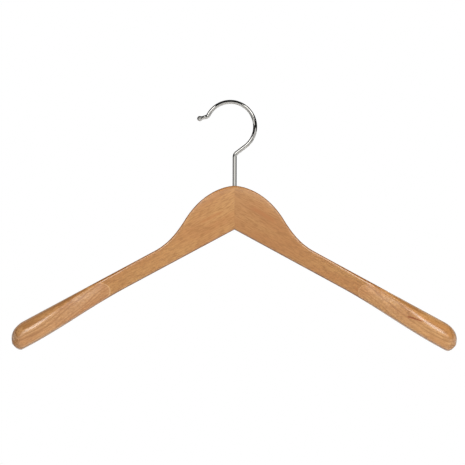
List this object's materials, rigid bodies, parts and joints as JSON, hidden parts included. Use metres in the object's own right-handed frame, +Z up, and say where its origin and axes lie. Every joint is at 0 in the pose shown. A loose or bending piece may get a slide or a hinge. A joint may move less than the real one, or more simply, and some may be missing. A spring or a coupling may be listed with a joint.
{
  "type": "clothes hanger",
  "caption": "Wooden clothes hanger with two beech arms meeting at a raised centre, broad rounded shoulders, and a bent chrome wire hook that swivels.",
  "frame": {"origin": "inside the crown of the hook, on the swivel axis, where the hook bears on a rail", "axes": "+X along the hanger's span, away from the side that the hook's tip points to; +Y to the back; +Z up along the swivel axis"},
  "size_m": [0.4506, 0.043, 0.2531],
  "materials": {
    "left_beech": "satin clear lacquer",
    "right_beech": "satin clear lacquer",
    "left_shoulder_beech": "satin clear lacquer",
    "right_shoulder_beech": "satin clear lacquer",
    "hook_chrome": "polished",
    "sleeve_brass": "drawn",
    "pin_steel": "drawn wire"
  },
  "bodies": {
    "hook": {"hook": "hook_chrome"},
    "hanger": {"left_arm": "left_beech", "right_arm": "right_beech", "left_front_shoulder": "left_shoulder_beech", "left_back_shoulder": "left_shoulder_beech", "right_front_shoulder": "right_shoulder_beech", "right_back_shoulder": "right_shoulder_beech", "hook_sleeve": "sleeve_brass", "retaining_pin": "pin_steel"}
  },
  "joints": [
    {"name": "hook_swivel", "type": "hinge", "parent": "hook", "child": "hanger", "pos_m": [0, 0, -0.1], "axis": [0, 0, 1], "continuous": true}
  ]
}
